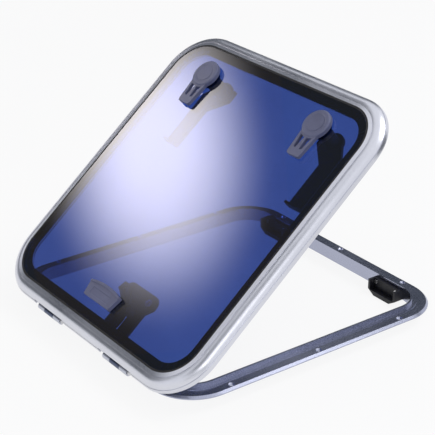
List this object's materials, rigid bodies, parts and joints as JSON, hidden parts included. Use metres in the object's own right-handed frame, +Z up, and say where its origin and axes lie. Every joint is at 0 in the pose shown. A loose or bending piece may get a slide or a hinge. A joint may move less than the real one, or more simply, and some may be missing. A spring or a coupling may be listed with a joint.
{
  "type": "deck hatch",
  "caption": "Low-profile boat deck hatch: bolt-down frame, hinged lid with flush smoked lens, turn handles and a friction arm that holds it open.",
  "frame": {"origin": "centre of the deck screw pattern, on the deck plane under the flange", "axes": "+Z up out of the deck, +Y from the hinge edge towards the handle edge, +X along the hinge line; the lid is stored open by 40 degrees"},
  "size_m": [0.486, 0.5035, 0.3566],
  "materials": {
    "base_aluminium": "dark blue-grey anodised",
    "lid_aluminium": "satin silver anodised",
    "leaf_dark": "dark anodised",
    "leaf_silver": "satin silver anodised",
    "steel": "stainless",
    "lens_acrylic": "polished smoked acrylic",
    "bond_black": "black sealant and bonded border",
    "rubber_black": "matte",
    "plastic_grey": "fine-textured moulding",
    "plastic_black": "fine-textured moulding",
    "nylon_white": "plain nylon",
    "friction_lining": "woven lining"
  },
  "bodies": {
    "base": {"base_frame": "base_aluminium", "striker_left": "plastic_black", "striker_right": "plastic_black", "striker_screws": "steel", "hinge_base_left": "leaf_dark", "hinge_base_right": "leaf_dark", "hinge_base_screws": "steel", "hinge_pin_left": "steel", "hinge_pin_right": "steel", "arm_bracket": "plastic_black", "arm_bracket_screws": "steel", "arm_pivot_pins": "steel"},
    "lid": {"lid_frame": "lid_aluminium", "lens": "lens_acrylic", "lens_border": "bond_black", "lens_seal": "bond_black", "lid_gasket": "rubber_black", "hinge_lid_left": "leaf_silver", "hinge_lid_right": "leaf_silver", "hinge_lid_screws": "steel", "hinge_bushes": "nylon_white", "friction_cap": "plastic_grey", "friction_cap_gasket": "rubber_black", "friction_quadrant": "plastic_black", "friction_bolts": "steel", "friction_bolt_nuts": "steel", "handle_bush_left": "plastic_grey", "handle_bush_right": "plastic_grey", "handle_gaskets": "rubber_black", "handle_nut_left": "plastic_black", "handle_nut_right": "plastic_black", "spindle_seals": "rubber_black"},
    "friction_arm": {"friction_arm": "plastic_black", "friction_pads": "friction_lining", "clamp_pin": "steel", "arm_cover": "plastic_black", "arm_cover_screw": "steel"},
    "friction_knob": {"friction_knob": "plastic_black"},
    "handle_left": {"outer_handle_left": "plastic_grey", "handle_cap_left": "plastic_grey", "spindle_left": "steel", "inner_lever_left": "plastic_black", "lever_screw_left": "steel"},
    "handle_right": {"outer_handle_right": "plastic_grey", "handle_cap_right": "plastic_grey", "spindle_right": "steel", "inner_lever_right": "plastic_black", "lever_screw_right": "steel"}
  },
  "joints": [
    {"name": "lid_hinge", "type": "hinge", "parent": "base", "child": "lid", "pos_m": [0, -0.252, 0.006], "axis": [1, 0, 0], "range_deg": [-40, 40]},
    {"name": "arm_pivot", "type": "hinge", "parent": "base", "child": "friction_arm", "pos_m": [0, -0.2115, -0.012], "axis": [1, 0, 0], "range_deg": [-40, 40]},
    {"name": "friction_knob_turn", "type": "hinge", "parent": "friction_arm", "child": "friction_knob", "pos_m": [0, -0.17874, 0.02985], "axis": [1, 0, 0], "range_deg": [0, 180]},
    {"name": "handle_left_turn", "type": "hinge", "parent": "lid", "child": "handle_left", "pos_m": [-0.132, 0.06813, 0.29812], "axis": [0, -0.6428, 0.766], "range_deg": [0, 90]},
    {"name": "handle_right_turn", "type": "hinge", "parent": "lid", "child": "handle_right", "pos_m": [0.132, 0.06813, 0.29812], "axis": [0, -0.6428, 0.766], "range_deg": [-90, 0]}
  ],
  "couplings": [
    {"joint": "arm_pivot", "follows": "lid_hinge", "ratio": 1}
  ]
}
